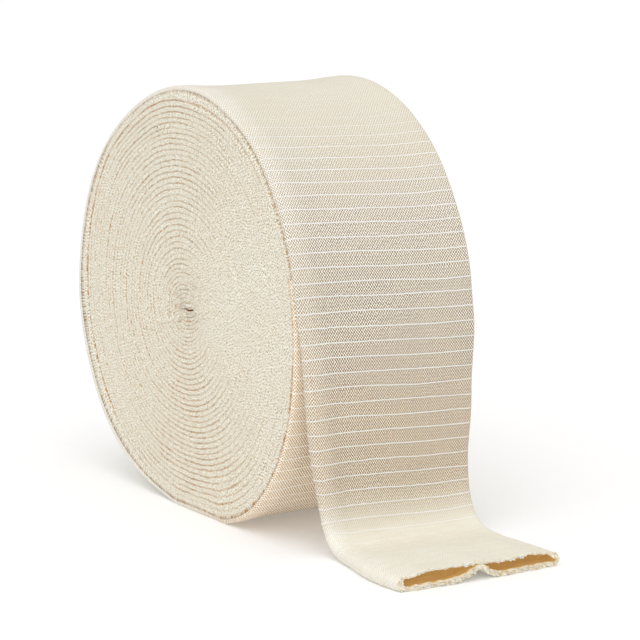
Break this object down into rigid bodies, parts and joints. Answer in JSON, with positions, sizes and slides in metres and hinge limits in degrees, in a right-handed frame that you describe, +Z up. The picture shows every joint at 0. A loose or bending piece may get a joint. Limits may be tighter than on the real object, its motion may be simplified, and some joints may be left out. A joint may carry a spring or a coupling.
{
  "type": "tubular gauze bandage",
  "caption": "Soft roll of flat knitted elastic tubular bandage, its loose end hanging down the front and lying open on the floor.",
  "frame": {"origin": "on the floor below the middle of the roll, in the flat spot that it rests on", "axes": "+Y along the axis of the roll, +X the way the loose end runs out over the floor, +Z up"},
  "size_m": [0.2333, 0.0754, 0.1624],
  "materials": {
    "ecru_knit": "matte ecru cotton knit, fine courses and wales, with a thin white raised elastic thread across the tube every 5.5 mm"
  },
  "bodies": {
    "root": {"wound_roll": "ecru_knit", "loose_end": "ecru_knit"}
  },
  "joints": []
}
